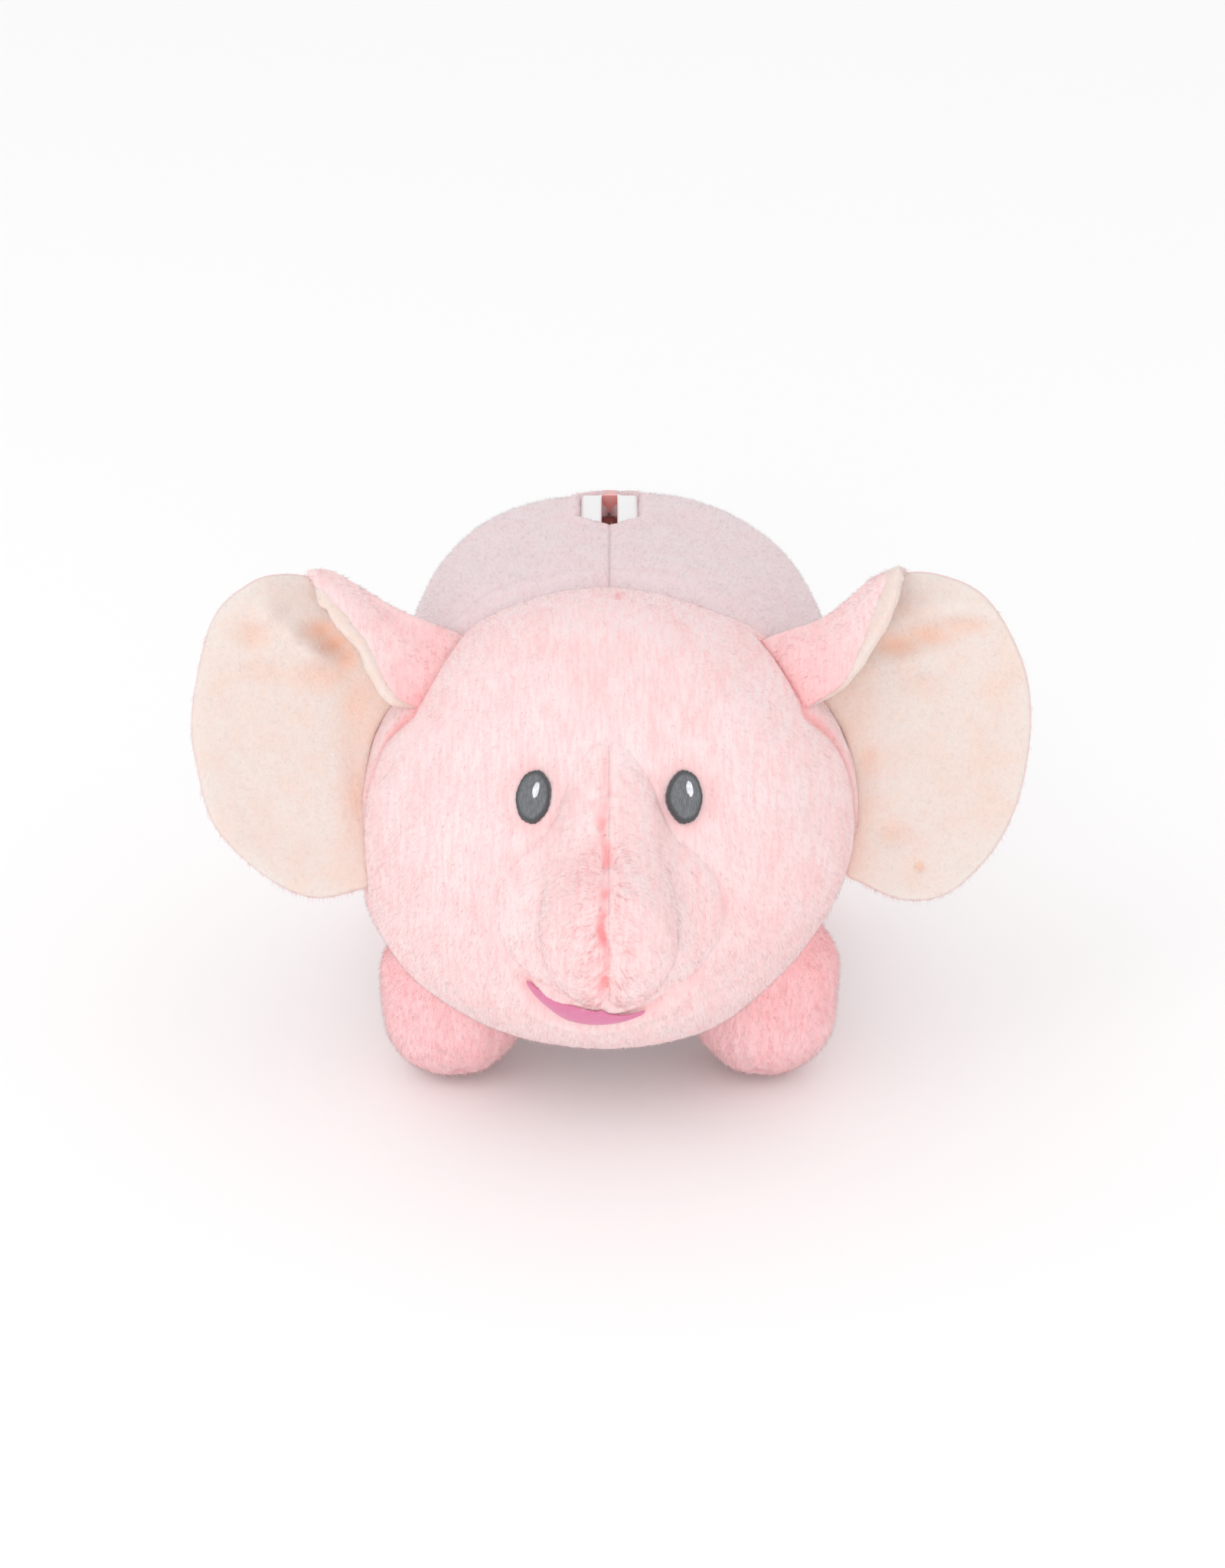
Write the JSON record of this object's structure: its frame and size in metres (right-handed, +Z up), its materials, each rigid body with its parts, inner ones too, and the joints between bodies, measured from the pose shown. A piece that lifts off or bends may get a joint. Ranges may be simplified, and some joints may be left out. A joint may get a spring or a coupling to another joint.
{
  "type": "plush elephant coin bank",
  "caption": "Pink plush elephant money bank on stubby legs, with round ears, an embroidered face, a slot in the back and a belly stopper.",
  "frame": {"origin": "centre of the whole object's box, on the surface that the soles stand on", "axes": "+Z up, -Y the way the face looks, +X the elephant's own left"},
  "size_m": [0.243, 0.262, 0.1576],
  "materials": {
    "plush_head": "long soft pile",
    "plush_body": "short soft pile",
    "plush_trunk": "long soft pile",
    "plush_legs": "long soft pile",
    "plush_ears": "long soft pile",
    "velour_ears": "short velour",
    "eye_thread": "satin embroidery",
    "glint_thread": "satin embroidery",
    "mouth_satin": "satin",
    "filling": "loose fibre",
    "tail_cloth": "long soft pile",
    "white_plastic": "satin gloss",
    "canister_plastic": "satin",
    "stopper_rubber": "matt"
  },
  "bodies": {
    "bank": {"head_skin": "plush_head", "body_left_panel": "plush_body", "body_right_panel": "plush_body", "belly_panel": "plush_body", "trunk_left_half": "plush_trunk", "trunk_right_half": "plush_trunk", "leg_front_left_skin": "plush_legs", "leg_front_right_skin": "plush_legs", "leg_rear_left_skin": "plush_legs", "leg_rear_right_skin": "plush_legs", "eye_left": "eye_thread", "eye_right": "eye_thread", "eye_left_glint": "glint_thread", "eye_right_glint": "glint_thread", "mouth_lining": "mouth_satin", "head_stuffing": "filling", "trunk_stuffing": "filling", "body_stuffing": "filling", "leg_front_left_stuffing": "filling", "leg_front_right_stuffing": "filling", "leg_rear_left_stuffing": "filling", "leg_rear_right_stuffing": "filling", "coin_slot_insert": "white_plastic", "coin_canister": "canister_plastic"},
    "ear_left": {"ear_left_outer": "plush_ears", "ear_left_inner": "velour_ears"},
    "ear_right": {"ear_right_outer": "plush_ears", "ear_right_inner": "velour_ears"},
    "tail": {"tail_cord": "tail_cloth", "tail_tuft": "tail_cloth"},
    "stopper": {"stopper": "stopper_rubber"}
  },
  "joints": [
    {"name": "ear_left_flap", "type": "hinge", "parent": "bank", "child": "ear_left", "pos_m": [0.072, -0.01968, 0.10079], "axis": [0.3007, -0.3105, -0.9018], "range_deg": [-20, 35], "stiffness_Nm_per_rad": 0.06},
    {"name": "ear_right_flap", "type": "hinge", "parent": "bank", "child": "ear_right", "pos_m": [-0.072, -0.01968, 0.10079], "axis": [0.3007, 0.3105, 0.9018], "range_deg": [-20, 35], "stiffness_Nm_per_rad": 0.06},
    {"name": "tail_swing", "type": "hinge", "parent": "bank", "child": "tail", "pos_m": [0, 0.1252, 0.094], "axis": [0, 1, 0], "range_deg": [-50, 50]},
    {"name": "stopper_pull", "type": "slide", "parent": "bank", "child": "stopper", "axis": [0, 0, -1], "range_m": [0, 0.013]}
  ]
}
